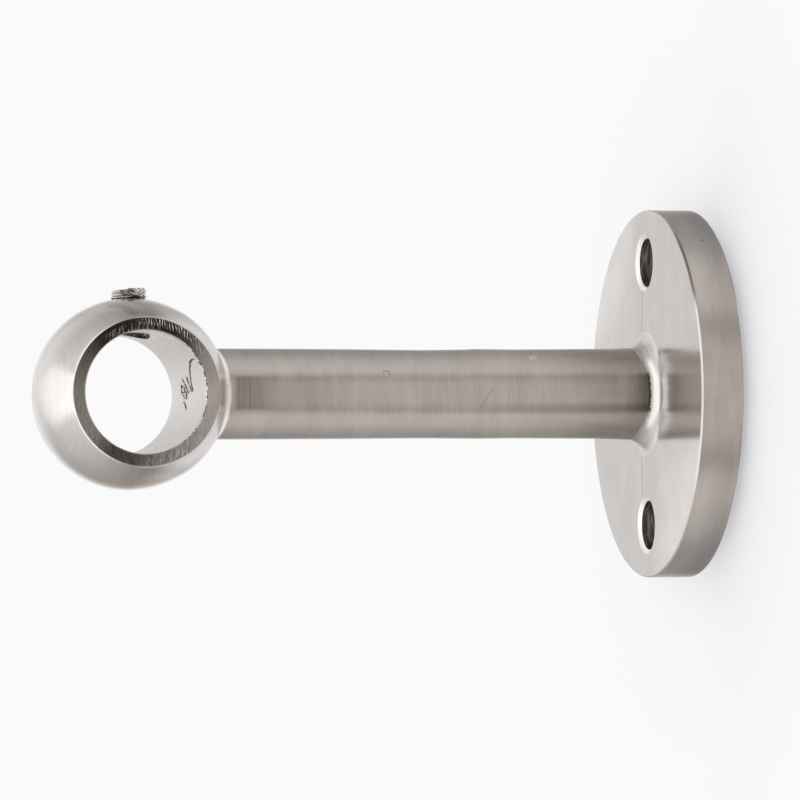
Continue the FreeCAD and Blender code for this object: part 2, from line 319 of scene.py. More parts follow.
# Where the other lights stand, by the parts of a direction and as a share of half a turn, and
# how bright they are
SIDE_Y = (-0.3, 0.1)
LEFT_X = (0.25, -0.8, 0.26, 0.95)
RIGHT_LIGHT_X = (0.26, 0.52, 0.26, 0.95)
BEHIND_X = (0.15, -0.3, 0, 0.35)
BEHIND_Y = (0.68, 0.89)
BEHIND_Z = (-0.25, 0.05, -0.15, 1)
FRONT_LIGHT_X = (0.2, 0.0)
FRONT_LIGHT_Y = (0.15, -0.25)
BOX_X = (-0.42, -0.72)
BOX_Y = (-0.6, -0.4)
BOX_Z = (0.315, 0.285)
WALL_LIGHT_X = (0.75, 0.95)
BACKDROP_TURN = (0.91, 0.95)
BACKDROP_X = (0.0, 0.2)

# The floor and the wall
FLOOR_Z = -110.0
STAGE_HALF = 1500.0
WALL_GAP = 0.3
WALL_SHADOW = 64.0
FLOOR_PAINT = (0.8, 0.8, 0.8, 1)
FLOOR_GLOW = 0.42
WALL_SHADE = (0.50, 0.50, 0.52)


class Skin:
    """Points and faces of one mesh, in millimetres, built from rows of points."""

    def __init__(self):
        self.blocks = []
        self.faces = []
        self.finishes = []
        self.count = 0

    def add(self, points):
        """Store points of shape (..., 3) and return their numbers in the same shape."""
        numbers = np.arange(self.count, self.count + points[..., 0].size)
        self.blocks.append(points.reshape(-1, 3))
        self.count += numbers.size
        return numbers.reshape(points.shape[:-1])

    def weave(self, numbers, finish=BRUSHED, holes=()):
        """Quads over rows whose last column joins the first, left open in the holes.

        The finish is one for all the rows, or one for each row of faces."""
        rows, columns = numbers.shape
        keep = np.ones((rows - 1, columns), dtype=bool)
        for row_span, column_span in holes:
            columns_out = np.arange(*column_span) % columns
            keep[min(row_span):max(row_span), columns_out] = False
        beside = np.roll(numbers, -1, axis=1)
        quads = np.stack([numbers[:-1], beside[:-1], beside[1:], numbers[1:]], axis=-1)
        self.faces.extend(quads[keep].tolist())
        row_finish = np.broadcast_to(finish, rows - 1)[:, None]
        self.finishes.extend(np.broadcast_to(row_finish, keep.shape)[keep].tolist())

    def cap(self, ring, finish):
        """One face that closes a ring."""
        self.faces.append(ring.tolist())
        self.finishes.append(finish)

    def mesh(self, name):
        """A Blender mesh in metres, with its faces turned outwards."""
        mesh = bpy.data.meshes.new(name)
        mesh.from_pydata((np.concatenate(self.blocks) * MM).tolist(), [], self.faces)
        mesh.polygons.foreach_set("material_index", self.finishes)
        work = bmesh.new()
        work.from_mesh(mesh)
        unused = [vertex for vertex in work.verts if not vertex.link_faces]
        bmesh.ops.delete(work, geom=unused, context="VERTS")
        bmesh.ops.recalc_face_normals(work, faces=work.faces)
        work.to_mesh(mesh)
        work.free()
        mesh.polygons.foreach_set("use_smooth", [True] * len(mesh.polygons))
        mesh.set_sharp_from_angle(angle=SHARP_ANGLE)
        return mesh


def portions(count):
    """Equal shares of 1, up to 1."""
    return np.linspace(0, 1, count + 1)[1:]


def border(row_span, column_span):
    """Rows and columns of the grid points round an opening, in order."""
    (low, high), (left, right) = row_span, column_span
    step = 1 if high > low else -1
    places = [(low, column) for column in range(left, right)]
    places += [(row, right) for row in range(low, high, step)]
    places += [(high, column) for column in range(right, left, -1)]
    places += [(row, left) for row in range(high, low, -step)]
    return np.array(places)


def collar(skin, rim, start, end, steps, place=lambda points: points):
    """Rings of points between a rim and a round edge, placed on a surface."""
    rings = [skin.add(place(start * (1 - share) + end * share)) for share in portions(steps)]
    return np.array([rim] + rings)


def barrel_radius(y):
    """Radius of the eye's arched side at a distance y from its middle."""
    return EYE_RADIUS - EYE_ARCH + np.sqrt(EYE_ARCH ** 2 - y ** 2)


def on_barrel(angle_and_y):
    """Points on the eye's side."""
    return around_pole(barrel_radius(angle_and_y[..., 1]), angle_and_y)


def on_bore(angle_and_y):
    """Points on the bore's wall."""
    return around_pole(BORE_RADIUS, angle_and_y)


def around_pole(radius, angle_and_y):
    """Points round the pole's axis; angle 0 is towards the plate."""
    angle, y = angle_and_y[..., 0], angle_and_y[..., 1]
    return np.stack([POLE_X + radius * np.cos(angle), y, radius * np.sin(angle)], axis=-1)


def around_stem(x, reach, theta):
    """Points round the stem's axis; theta is 0 towards +y."""
    x, reach, theta = np.broadcast_arrays(x, reach, theta)
    return np.stack([x, reach * np.cos(theta), reach * np.sin(theta)], axis=-1)


def arc(start, end, centre, steps):
    """Points from start to end on the arc about the centre, without the first."""
    first, last = np.subtract(start, centre), np.subtract(end, centre)
    shares = portions(steps).reshape(-1, *([1] * first.ndim))
    bend = first * (1 - shares) + last * shares
    radius, reach = (np.linalg.norm(points, axis=-1, keepdims=True) for points in (first, bend))
    return centre + bend * (radius / reach)


def eye_profile():
    """(radius, y) once round the section of the eye's wall, and the row where its bore starts."""
    side_y = np.linspace(EYE_EDGE - EYE_HALF, EYE_HALF - EYE_EDGE, EYE_ROWS + 1)
    side = np.stack([barrel_radius(side_y), side_y], axis=1)
    outer = (EYE_FACE_RADIUS - EYE_EDGE, EYE_HALF - EYE_EDGE)
    inner = (BORE_RADIUS + BORE_EDGE, EYE_HALF - BORE_EDGE)
    lip = arc((EYE_FACE_RADIUS, outer[1]), (outer[0], EYE_HALF), outer, LIP_STEPS)
    face = np.linspace((outer[0], EYE_HALF), (inner[0], EYE_HALF), FACE_ROWS + 1)[1:]
    tuck = arc((inner[0], EYE_HALF), (BORE_RADIUS, inner[1]), inner, LIP_STEPS)
    bore = np.stack([np.full(EYE_ROWS - 1, BORE_RADIUS), -side_y[1:-1]], axis=1)
    there = np.concatenate([lip, face, tuck])
    back = there[::-1] * (1, -1)
    return np.concatenate([side, there, bore, back]), len(side) + len(there) - 1


def build_eye(skin):
    """The eye's wall with its openings for the stem and the grub screw.

    Returns the numbers, angles and y of the points round the stem's opening."""
    rows, bore_start = eye_profile()
    angles = np.arange(EYE_COLUMNS) * 2 * math.pi / EYE_COLUMNS
    grid = np.stack(np.broadcast_arrays(angles[None, :], rows[:, 1][:, None]), axis=-1)
    torn = np.zeros(len(rows))
    torn[bore_start + EYE_ROWS:][:LIP_STEPS + 1] = BURR_PROFILE
    around = np.angle(np.exp(1j * angles))
    numbers = skin.add(around_pole(rows[:, 0][:, None] - torn[:, None] * burr(around), grid))
    numbers = np.concatenate([numbers, numbers[:1]])
    stem_opening = ((0, EYE_ROWS), (-STEM_HALF_COLUMNS, STEM_HALF_COLUMNS))
    middle, top = EYE_ROWS // 2, EYE_COLUMNS // 4
    columns = (top - GRUB_HALF_COLUMNS, top + GRUB_HALF_COLUMNS)
    side_opening = ((middle - GRUB_HALF_ROWS, middle + GRUB_HALF_ROWS), columns)
    bore_middle = bore_start + EYE_ROWS // 2
    bore_opening = ((bore_middle + GRUB_HALF_ROWS, bore_middle - GRUB_HALF_ROWS), columns)
    wall_end = bore_start - EYE_ROWS
    edges = [BURNISHED] * LIP_STEPS
    flank = edges + [SAWN] * (wall_end - 2 * LIP_STEPS) + edges
    finish = [BRUSHED] * EYE_ROWS + flank + [REAMED] * EYE_ROWS + flank
    skin.weave(numbers, finish, (stem_opening, side_opening, bore_opening))
    build_grub_hole(skin, eye_rim(numbers, rows, side_opening), eye_rim(numbers, rows, bore_opening))
    return eye_rim(numbers, rows, stem_opening)


def burr(angle):
    """How far the bore's edge was torn inwards on the side of the stem, in millimetres."""
    waves = [np.sin(turns * angle + start) for turns, start in BURR_WAVES]
    fade = np.clip((BURR_HALF - np.abs(angle - BURR_MIDDLE)) / BURR_FADE, 0, 1)
    return BURR * fade * np.abs(sum(waves)) / len(waves)


def eye_rim(numbers, rows, opening):
    """Numbers, and (angle, y), of the grid points round an opening in the eye's wall."""
    places = border(*opening)
    rim = numbers[places[:, 0], places[:, 1] % EYE_COLUMNS]
    return rim, np.stack([places[:, 1] * 2 * math.pi / EYE_COLUMNS, rows[places[:, 0], 1]], axis=1)


def build_grub_hole(skin, side_rim, bore_rim):
    """The grub screw's hole, from a small chamfer in the eye's top down to the bore."""
    bearing = np.arctan2(side_rim[1][:, 1], EYE_RADIUS * np.cos(side_rim[1][:, 0]))

    def edge(radius, wall):
        across, y = radius * np.cos(bearing), radius * np.sin(bearing)
        return np.stack([np.arccos(across / wall(y)), y], axis=1)

    mouth = edge(GRUB_MOUTH_RADIUS, barrel_radius)
    foot = edge(GRUB_HOLE_RADIUS + GRUB_BURR_FOOT, lambda y: BORE_RADIUS)
    top = collar(skin, *side_rim, mouth, GRUB_COLLAR, on_barrel)
    floor = collar(skin, *bore_rim, foot, GRUB_COLLAR, on_bore)
    upper = on_barrel(edge(GRUB_HOLE_RADIUS, barrel_radius)) - (0, 0, GRUB_MOUTH_DEPTH)
    droop = GRUB_BURR * np.clip(np.cos(bearing - GRUB_BURR_TURN) + GRUB_BURR_SPREAD, GRUB_BURR_LEAST, 1)
    lower = on_bore(edge(GRUB_HOLE_RADIUS, lambda y: BORE_RADIUS)) - np.array((0, 0, 1)) * droop[:, None]
    shares = np.linspace(0, 1, GRUB_HOLE_ROWS)[:, None, None]
    wall = skin.add(upper * (1 - shares) + lower * shares)
    skin.weave(top)
    skin.weave(np.concatenate([top[-1:], wall]), BARE_AND_SHADE)
    skin.weave(np.concatenate([wall[-1:], floor[-1:]]), BARE_AND_SHADE)
    skin.weave(floor[::-1], REAMED)


def neck_curve(theta):
    """Where the fillet from eye to stem touches the eye, at each angle round the stem.

    Returns the distance from the stem's axis and x there, and x at the fillet's other end,
    with x measured from the pole's axis."""
    def eye_x(reach):
        return np.sqrt(barrel_radius(reach * np.cos(theta)) ** 2 - (reach * np.sin(theta)) ** 2)

    def lean(reach):
        fall = (eye_x(reach + SLOPE_STEP) - eye_x(reach - SLOPE_STEP)) / (2 * SLOPE_STEP)
        return np.stack([np.ones_like(fall), -fall], axis=-1) / np.sqrt(1 + fall ** 2)[:, None]

    touch = np.full_like(theta, STEM_RADIUS + EYE_FILLET)
    for _ in range(NECK_ROUNDS):
        touch = STEM_RADIUS + EYE_FILLET * (1 - lean(touch)[:, 1])
    return touch, eye_x(touch), eye_x(touch) + EYE_FILLET * lean(touch)[:, 0]


def stem_wave(x, theta):
    """How far the stem's surface stands above or below its nominal radius."""
    stations, top, bottom = zip(*STEM_WAVES)
    rise = (1 + np.sin(theta)) / 2
    wave = rise * np.interp(x, stations, top) + (1 - rise) * np.interp(x, stations, bottom)
    run = np.clip((x - FLARE_START) / (-PLATE_THICKNESS - FOOT_FILLET - FLARE_START), 0, 1)
    side = np.clip((FLARE_HALF - np.abs(np.sin(theta))) / FLARE_FADE, 0, 1)
    return wave + FLARE_RISE * run ** 2 * np.clip(-np.cos(theta), 0, 1) * side


def build_stem(skin, rim, rim_places):
    """The stem with a fillet at each end, from the eye's opening to the plate's face.

    Returns the last ring's numbers and the angles of the columns round the stem."""
    y, z = rim_places[:, 1], barrel_radius(rim_places[:, 1]) * np.sin(rim_places[:, 0])
    theta = np.unwrap(np.arctan2(z, y))
    touch, touch_x, start_x = neck_curve(theta)
    edge_y = touch * np.cos(theta)
    edge = np.stack([np.arcsin(touch * np.sin(theta) / barrel_radius(edge_y)), edge_y], axis=1)
    rings = collar(skin, rim, rim_places, edge, NECK_COLLAR, on_barrel)

    centre = np.stack([POLE_X + start_x, np.full_like(theta, STEM_RADIUS + EYE_FILLET)], axis=-1)
    first = np.stack([POLE_X + touch_x, touch], axis=-1)
    last = centre - (0, EYE_FILLET)
    neck = arc(first, last, centre, NECK_STEPS)
    fillet = FOOT_FILLET + FOOT_FILLET_RISE * np.sin(theta) ** 2
    foot_start = np.stack([-PLATE_THICKNESS - fillet, np.full_like(theta, STEM_RADIUS)], axis=-1)
    foot_end = foot_start + fillet[:, None]
    foot = arc(foot_start, foot_end, foot_start + np.array((0, 1)) * fillet[:, None], FOOT_STEPS)
    along = portions(FOOT_STEPS)[:, None, None]
    chord = foot_start * (1 - along) + foot_end * along
    foot = foot * (1 - FOOT_FLATNESS) + chord * FOOT_FLATNESS
    shares = portions(STEM_ROWS)[:, None]
    run_x = (POLE_X + start_x) * (1 - shares) + foot_start[:, 0] * shares
    section = np.concatenate([neck, np.stack([run_x, np.full_like(run_x, STEM_RADIUS)], -1), foot])
    x, reach = section[..., 0], section[..., 1]
    fade = np.clip((STEM_RADIUS + WAVE_FADE - reach) / WAVE_FADE, 0, 1)
    reach = reach + fade * stem_wave(x, theta)
    body = skin.add(around_stem(x, reach, theta))
    finish = [BRUSHED] * (len(rings) - 1) + [BURNISHED] * NECK_STEPS
    finish += [BRUSHED] * STEM_ROWS + [BURNISHED] * FOOT_STEPS
    skin.weave(np.concatenate([rings, body]), finish)
    return body[-1], theta


def build_plate(skin, inner_ring, theta):
    """The round wall plate, outwards over its front, round its edge and in over its back."""
    inner = STEM_RADIUS + FOOT_FILLET + FOOT_FILLET_RISE
    front_rim = (PLATE_FRONT_EDGE - PLATE_THICKNESS, PLATE_RADIUS - PLATE_FRONT_EDGE)
    back_rim = (-PLATE_BACK_EDGE, PLATE_RADIUS - PLATE_BACK_EDGE)
    reaches = np.linspace(inner, front_rim[1] - EDGE_MARGIN, PLATE_ROWS)
    front = np.stack([np.full_like(reaches, -PLATE_THICKNESS), reaches], axis=1)
    front = np.concatenate([front, [(-PLATE_THICKNESS, front_rim[1])]])
    front_bend = arc(front[-1], (front_rim[0], PLATE_RADIUS), front_rim, EDGE_STEPS)
    rim = np.linspace((front_rim[0], PLATE_RADIUS), (back_rim[0], PLATE_RADIUS), RIM_ROWS + 1)[1:]
    back_bend = arc(rim[-1], (0, back_rim[1]), back_rim, EDGE_STEPS)
    back = np.stack([np.zeros_like(reaches), reaches[::-1]], axis=1)
    middle = np.linspace((0, inner), (0, HUB_RADIUS), HUB_ROWS + 1)[1:]
    section = np.concatenate([front[1:], front_bend, rim, back_bend, back, middle])
    numbers = skin.add(around_stem(section[:, 0][:, None], section[:, 1][:, None], theta[None, :]))
    numbers = np.concatenate([inner_ring[None, :], numbers])
    section = np.concatenate([front[:1], section])
    span = (SCREW_HOLE_OFFSET - PLATE_HOLE_NEAR, SCREW_HOLE_OFFSET + PLATE_HOLE_FAR)
    low, high = np.searchsorted(reaches, span)
    last = len(section) - len(middle) - 1
    openings = []
    for bearing in (math.pi / 2, -math.pi / 2):
        turned = np.angle(np.exp(1j * (theta - bearing)))
        column = int(np.argmin(np.abs(turned)))
        columns = (column - PLATE_HOLE_HALF_COLUMNS, column + PLATE_HOLE_HALF_COLUMNS)
        front_opening = ((low, high), columns)
        back_opening = ((last - low, last - high), columns)
        openings += [front_opening, back_opening]
        build_screw_hole(skin, numbers, section, theta, front_opening, back_opening, bearing)
    edges = [BURNISHED] * EDGE_STEPS
    finish = [LINED] * (len(front) - 1) + edges + [BRUSHED] * len(rim) + edges
    finish += [LINED] * (len(back) + len(middle))
    skin.weave(numbers, finish, openings)
    skin.cap(numbers[-1], LINED)


def build_screw_hole(skin, numbers, section, theta, front_opening, back_opening, bearing):
    """A screw hole through the plate, with its chamfer at the front."""
    centre = np.array([0, 0, math.copysign(SCREW_HOLE_OFFSET, bearing)])

    def rim_points(opening):
        rows, columns = border(*opening).T
        columns = columns % len(theta)
        return numbers[rows, columns], around_stem(section[rows, 0], section[rows, 1], theta[columns])

    front, front_points = rim_points(front_opening)
    back, back_points = rim_points(back_opening)
    direction = (front_points - centre) * (0, 1, 1)
    direction /= np.linalg.norm(direction, axis=1, keepdims=True)

    def ring(radius, x):
        return centre + direction * radius + (x, 0, 0)

    mouth = SCREW_HOLE_RADIUS + SCREW_HOLE_CHAMFER
    outside = collar(skin, front, front_points, ring(mouth, -PLATE_THICKNESS), HOLE_COLLAR)
    inside = collar(skin, back, back_points, ring(SCREW_HOLE_RADIUS, 0), HOLE_COLLAR)
    chamfer_x = SCREW_HOLE_CHAMFER_DEPTH - PLATE_THICKNESS
    wall = [ring(SCREW_HOLE_RADIUS, x) for x in np.linspace(chamfer_x, 0, HOLE_ROWS + 1)[:-1]]
    slope = ring(mouth - SCREW_HOLE_CHAMFER / 2, (chamfer_x - PLATE_THICKNESS) / 2)
    skin.weave(outside, LINED)
    middle = skin.add(np.array([slope] + wall))
    finish = [BURNISHED] * 2 + [BARE_AND_SHADE] * len(wall)
    skin.weave(np.concatenate([outside[-1:], middle, inside[-1:]]), finish)
    skin.weave(inside[::-1], LINED)


def place_on_body(piece, body, slot, *nodes):
    """Link a piece, ride it on its body and let it stand for the named nodes."""
    bpy.context.scene.collection.objects.link(piece)
    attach(piece, body)
    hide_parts(*nodes)


def operator(operation, turned=False):
    """A method that adds the node of an operation, with its values turned round if asked."""
    def work(self, *others):
        return self.net.math(operation, *((*others, self) if turned else (self, *others)))
    return work


class Value:
    """A number in a node tree, on which plain arithmetic adds the nodes that work it out."""

    def __init__(self, net, socket):
        self.net = net
        self.socket = socket

    __add__ = __radd__ = operator("ADD")
    __mul__ = __rmul__ = operator("MULTIPLY")
    __sub__ = operator("SUBTRACT")
    __rsub__ = operator("SUBTRACT", turned=True)
    __truediv__ = operator("DIVIDE")
    __pow__ = operator("POWER")
    __abs__ = operator("ABSOLUTE")


class Net:
    """A net of nodes: short calls that add them to a tree and join them."""

    def __init__(self, tree):
        self.tree = tree
        self.tree.nodes.clear()

    def put(self, value, socket):
        """Join a value to a node's input, or set the input to it."""
        value = value.socket if isinstance(value, Value) else value
        if isinstance(value, bpy.types.NodeSocket):
            self.tree.links.new(value, socket)
        else:
            socket.default_value = value

    def node(self, kind, inputs=None, **settings):
        """A node with its settings made and its inputs joined or set."""
        node = self.tree.nodes.new(kind)
        for name, value in settings.items():
            setattr(node, name, value)
        for key, value in (inputs or {}).items():
            self.put(value, node.inputs[key])
        return node

    def add(self, kind, inputs=None, **settings):
        """The first output of a new node."""
        return self.node(kind, inputs, **settings).outputs[0]

    def math(self, operation, *values):
        """The result of a calculation with numbers."""
        return Value(self, self.add("ShaderNodeMath", dict(enumerate(values)), operation=operation))

    def most(self, first, *others):
        """The largest of its values."""
        for other in others:
            first = self.math("MAXIMUM", first, other)
        return first

    def vector(self, operation, *values, output="Vector"):
        """The result of a calculation with vectors."""
        node = self.node("ShaderNodeVectorMath", dict(enumerate(values)), operation=operation)
        return node.outputs[output]

    def measure(self, operation, *values):
        """The number that a calculation with vectors gives."""
        return Value(self, self.vector(operation, *values, output="Value"))

    def place(self, offset=(0, 0, 0)):
        """The place on the object in millimetres, measured from an offset."""
        place = self.node("ShaderNodeTexCoord").outputs["Object"]
        return self.vector("SUBTRACT", self.vector("MULTIPLY", place, (1 / MM,) * 3), offset)

    def split(self, vector):
        """The three numbers of a vector."""
        outputs = self.node("ShaderNodeSeparateXYZ", {0: vector}).outputs[:3]
        return [Value(self, output) for output in outputs]

    def join(self, *parts):
        """A vector of three numbers, or of two and a zero."""
        return self.add("ShaderNodeCombineXYZ", dict(enumerate(parts)))

    def distance(self, *parts):
        """The length of the vector that has these parts."""
        return self.measure("LENGTH", self.join(*parts))

    def noise(self, place, grain, detail=2.0, roughness=0.5):
        """Noise from 0 to 1, with a grain of so many millimetres along x, y and z."""
        spread = self.vector("MULTIPLY", place, tuple(1 / size for size in grain))
        inputs = {"Vector": spread, "Scale": 1.0, "Detail": detail, "Roughness": roughness}
        return Value(self, self.node("ShaderNodeTexNoise", inputs).outputs["Fac"])

    def strokes(self, place, marks):
        """The strength of a set of marks on its strokes, and 0 away from them."""
        axes, width, strength, wobble, softness, paths = marks
        if wobble:
            shake = self.node("ShaderNodeTexNoise", {"Vector": place, "Scale": 1.0}).outputs["Color"]
            shake = self.vector("SUBTRACT", shake, (0.5, 0.5, 0.5))
            place = self.vector("ADD", place, self.vector("MULTIPLY", shake, (wobble,) * 3))
        flat = self.vector("MULTIPLY", place, tuple(float(letter in axes) for letter in "xyz"))
        nearest = FAR_AWAY
        for path in paths:
            named = [dict(zip(axes, point)) for point in path]
            corners = [Vector([point.get(letter, 0.0) for letter in "xyz"]) for point in named]
            for start, end in zip(corners, corners[1:]):
                nearest = self.math("MINIMUM", nearest, self.gap(flat, start, end))
        return self.step(nearest, width, width * (1 - softness), 0.0, strength)

    def gap(self, flat, start, end):
        """The distance from a straight stroke."""
        run = end - start
        offset = self.vector("SUBTRACT", flat, start)
        share = self.measure("DOT_PRODUCT", offset, run) / run.length_squared
        share = self.math("MINIMUM", self.most(share, 0.0), 1.0)
        return self.measure("LENGTH", self.vector("SUBTRACT", offset, self.shade(tuple(run), share)))

    def linear(self, value, start, end, low=0.0, high=1.0, kind="LINEAR"):
        """A straight slope from low to high as the value goes from start to end."""
        inputs = {"Value": value, "From Min": start, "From Max": end, "To Min": low, "To Max": high}
        node = self.node("ShaderNodeMapRange", inputs, interpolation_type=kind)
        return Value(self, node.outputs["Result"])

    def step(self, value, start, end, low=0.0, high=1.0):
        """A smooth step from low to high as the value goes from start to end."""
        return self.linear(value, start, end, low, high, "SMOOTHSTEP")

    def band(self, value, start, full, fade, end):
        """1 where the value lies between full and fade, and 0 before start and past the end."""
        return self.step(value, start, full) * self.step(value, end, fade)

    def vary(self, noise, low, high):
        """A value from low to high over the middle range of a noise."""
        return self.step(noise, *NOISE_RANGE, low, high)

    def blend(self, factor, first, second):
        """A colour between two colours."""
        node = self.node("ShaderNodeMix", {"Factor": factor}, data_type="RGBA")
        for socket, colour in ((node.inputs[6], first), (node.inputs[7], second)):
            self.put((*colour, 1) if isinstance(colour, tuple) else colour, socket)
        return node.outputs[2]

    def shade(self, colour, factor):
        """A colour or vector made smaller or larger by a factor."""
        colour = self.join(*colour) if isinstance(colour, tuple) else colour
        inputs = {0: colour, "Scale": factor}
        return self.add("ShaderNodeVectorMath", inputs, operation="SCALE")

    def ramp(self, value, stops):
        """A colour ramp through stops of (place, colour)."""
        node = self.node("ShaderNodeValToRGB", {0: value})
        elements = node.color_ramp.elements
        while len(elements) < len(stops):
            elements.new(0.5)
        for element, (place, colour) in zip(elements, stops):
            element.position = place
            element.color = (*colour, 1)
        return node.outputs[0]

    def level(self, turn, levels):
        """A number that follows levels of (degrees, number) once round."""
        return self.split(self.ramp(turn, [(degrees / 360, (level,) * 3) for degrees, level in levels]))[0]

    def bump(self, height, strength, distance):
        """A normal from a height, with the distance in millimetres."""
        inputs = {"Height": height, "Strength": strength, "Distance": distance * MM}
        return self.add("ShaderNodeBump", inputs)


def make_material(name, surface):
    """A material with the shader that its surface function adds."""
    material = bpy.data.materials.new(name)
    material.use_nodes = True
    net = Net(material.node_tree)
    net.node("ShaderNodeOutputMaterial", {"Surface": surface(net)})
    return material


def metal(name, paint, anisotropic=0.0, around=None):
    """A metal whose paint function gives its colour, roughness and normal, and any grime and painted shade
    on it.

    Brush lines run around the named axis, and the gloss spreads across them. Grime and painted shade are
    dull and hide the metal."""
    def surface(net):
        colour, roughness, normal, dirt_and_shade = paint(net)
        inputs = {"Base Color": colour, "Metallic": 1.0, "Roughness": roughness, "Normal": normal}
        if dirt_and_shade is not None:
            inputs.update({"Metallic": 1.0 - dirt_and_shade, "Roughness": roughness + DIRT_AND_SHADE_DULLNESS * dirt_and_shade})
        if around:
            tangent = net.add("ShaderNodeTangent", direction_type="RADIAL", axis=around)
            inputs.update({"Tangent": tangent, "Anisotropic": anisotropic, "Anisotropic Rotation": 0.25})
        return net.add("ShaderNodeBsdfPrincipled", inputs)

    return make_material(name, surface)


def groove_and_shade(net, place):
    """1 on the rough dark edge where the foot's fillet was ground into the stem's front, rising towards it
    through painted shade on the stem.
    """
    x, y, z = net.split(place)
    shake = GROOVE_SHAKE * (net.noise(place, (0.4, 0.4, 0.3), detail=3.0) - 0.5)
    along = x - GROOVE_X + shake
    front = net.step(abs(z) + 2 * shake, *GROOVE_Z) * net.step(y, *FRONT_Y)
    # The slow rise before the edge is painted shade
    return net.linear(along, *GROOVE_RISE) ** GROOVE_POWER * net.step(along, *GROOVE_END) * front


def stem_marks_and_shade(net, place, front):
    """How much darker and browner the stem's front is: turning marks at its neck, and painted dark
    reflection there and towards its foot.
    """
    x, _, z = net.split(place)
    turning = net.noise(place, (TURNING_GRAIN, 30, 30), detail=3.0)
    # Turning marks at the neck, with painted dark reflection on the front's middle there
    neck = net.step(x, *NECK_X) * net.step(turning, 0.35, 0.65, *NECK_SHADES)
    neck = net.most(neck, net.step(x, *NECK_START_X))
    neck *= net.step(x, *NECK_END_X) * net.step(abs(z), *MIDDLE_Z)
    # Painted dark reflection on the front, growing towards the foot
    foot = net.linear(x, *FOOT_X) * net.step(x, *FOOT_END_X)
    foot *= net.step(abs(z), *FOOT_Z)
    return net.most(neck, foot) * front


def marks_and_top_shade(net, place, front):
    """Small dark marks on the stem and rim, a faint scratch, and painted shade on top of the eye beside
    the screw.
    """
    marks = front * net.most(net.strokes(place, DARK_MARKS), net.strokes(place, SCRATCH))
    top_shade = net.strokes(place, EYE_TOP_SHADE) * net.step(net.split(place)[2], *EYE_TOP_SHADE_Z)
    return net.most(marks, top_shade)


def foot_light(net, place, front):
    """What the painted dark band below the stem's middle, and the dark ground edge at its foot with
    painted shade before it, leave of the light.
    """
    x, _, z = net.split(place)
    # Painted shade: a dark band below the stem's middle, towards its foot
    dark = net.step(abs(z - STRIPE_Z), *STRIPE_HALF) * net.linear(x, *STRIPE_X)
    dark *= net.step(x, *FOOT_END_X) * front
    return (1 - dark) * (1 - GROOVE_SHADE * groove_and_shade(net, place))


def eye_and_rim_light(net, x, z):
    """Painted light and shade: the brighter top and bottom of the eye, and the darker top, bottom and wall
    side of the plate's rim.
    """
    lift = net.most(net.step(z, *TOP_Z), net.step(x, *RIGHT_X))
    crown = 1 + net.step(abs(z), *CROWN_Z) * net.step(x, *CROWN_X) * lift
    ends = 1 - net.step(abs(z), *RIM_END_Z) * net.step(x, *RIM_X)
    wall = 1 - net.step(x, *RIM_WALL_X) * net.linear(abs(z), *RIM_WALL_Z)
    return crown * ends * wall


def paint_brushed(net):
    """Satin nickel brushed around the stem's axis, on the stem, the eye and the plate's rim, with painted
    light and shade in places.
    """
    place = net.place()
    x, y, z = net.split(place)
    front = net.step(y, *FRONT_Y)
    fine = net.noise(place, (0.22, 5, 5), detail=3.0, roughness=0.7)
    lines = 0.7 * fine + 0.3 * net.noise(place, (1.6, 9, 9))
    # Turning marks and painted dark reflection on the stem's front, which also make it browner
    marks_and_painted_shade = stem_marks_and_shade(net, place, front)
    factor = net.vary(lines, 0.93, 1.05) * net.vary(net.noise(place, (5, 5, 5)), 0.97, 1.03)
    factor *= 1 - net.most(marks_and_painted_shade, marks_and_top_shade(net, place, front))
    factor *= foot_light(net, place, front)
    # Painted highlight on the front beside the neck, and the pale marks
    beside = net.band(x, *NECK_BAND_X) * net.step(abs(z), *NECK_BAND_Z)
    factor += front * (beside + net.strokes(place, PALE_MARKS))
    # Browner and a little darker from the stem's middle to near its foot
    browner_near_foot = net.linear(x, *BROWNER_X) * net.step(x, *BROWNER_END_X)
    # Painted light and shade on the eye and the plate's rim, and the browner stem a little darker
    factor *= eye_and_rim_light(net, x, z) * (1 - BROWNER_SHADE * browner_near_foot)
    roughness = net.vary(lines, 0.27, 0.35) * net.step(x, *GLOSSY_EYE_X)
    colour = net.blend(net.most(2 * marks_and_painted_shade, browner_near_foot), NICKEL, BROWN_AND_SHADE)
    return net.shade(colour, factor), roughness, net.bump(lines, 0.3, 0.01), None


